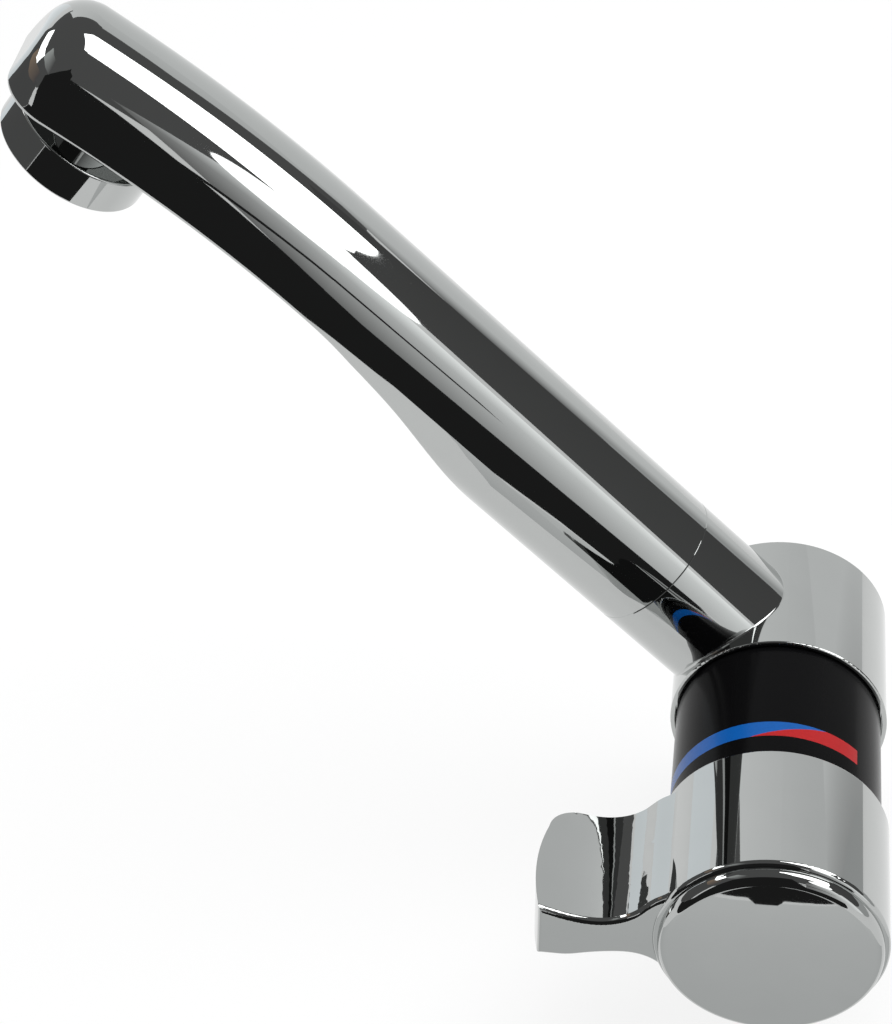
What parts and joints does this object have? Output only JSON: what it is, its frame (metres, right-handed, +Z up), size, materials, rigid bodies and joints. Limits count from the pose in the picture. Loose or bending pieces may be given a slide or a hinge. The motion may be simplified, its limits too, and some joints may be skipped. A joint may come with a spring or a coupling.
{
  "type": "compact mixer tap",
  "caption": "Deck-mounted compact mixer tap with a horizontal barrel, a side lever knob, a black collar with a temperature stripe and a folding spout.",
  "frame": {"origin": "centre of the base on the worktop, at the underside of the foot", "axes": "+Z up, +Y along the barrel from the lever end to the spout end, the spout rising toward -X"},
  "size_m": [0.178, 0.0964, 0.2653],
  "materials": {
    "chrome_plate": "polished",
    "black_plastic": "glossy",
    "blue_plastic": "glossy",
    "red_plastic": "glossy",
    "brass": "machined",
    "rubber": "matt",
    "zinc_steel": "zinc plated",
    "stainless": "bright",
    "grey_plastic": "matt",
    "white_plastic": "matt",
    "alumina": "lapped"
  },
  "bodies": {
    "base": {"base_casting": "chrome_plate", "deck_gasket": "rubber", "mounting_shank": "brass", "rubber_washer": "rubber", "clamp_washer": "zinc_steel", "mounting_nut": "brass", "cold_spigot": "chrome_plate", "hot_spigot": "chrome_plate", "spigot_o_rings": "rubber", "valve_core": "brass", "core_o_rings": "rubber", "core_lock_screw": "stainless", "indicator_collar": "black_plastic", "cold_stripe": "blue_plastic", "hot_stripe": "red_plastic", "cartridge_housing": "grey_plastic", "cartridge_seal": "rubber", "fixed_disc": "alumina", "cartridge_nut": "brass", "thrust_washer": "white_plastic", "sleeve_o_rings": "rubber", "retaining_washer": "stainless", "retaining_screw": "stainless", "fold_stop_pin": "stainless"},
    "lever": {"lever_knob": "chrome_plate", "knob_screw": "stainless", "end_cap": "chrome_plate", "spindle": "brass", "moving_disc": "alumina", "spindle_o_ring": "rubber"},
    "spout": {"fold_sleeve": "chrome_plate", "rear_cap": "chrome_plate", "spout_nipple": "brass", "nipple_o_rings": "rubber", "spout_tube": "chrome_plate", "aerator_collar": "chrome_plate", "aerator_gasket": "rubber", "aerator_body": "white_plastic", "aerator_screens": "stainless"}
  },
  "joints": [
    {"name": "spout_fold", "type": "hinge", "parent": "base", "child": "spout", "pos_m": [0, 0.0317, 0.042], "axis": [0, 1, 0], "range_deg": [-50, 10]},
    {"name": "lever_turn", "type": "hinge", "parent": "base", "child": "lever", "pos_m": [0, -0.03, 0.042], "axis": [0, 1, 0], "range_deg": [0, 138]}
  ]
}
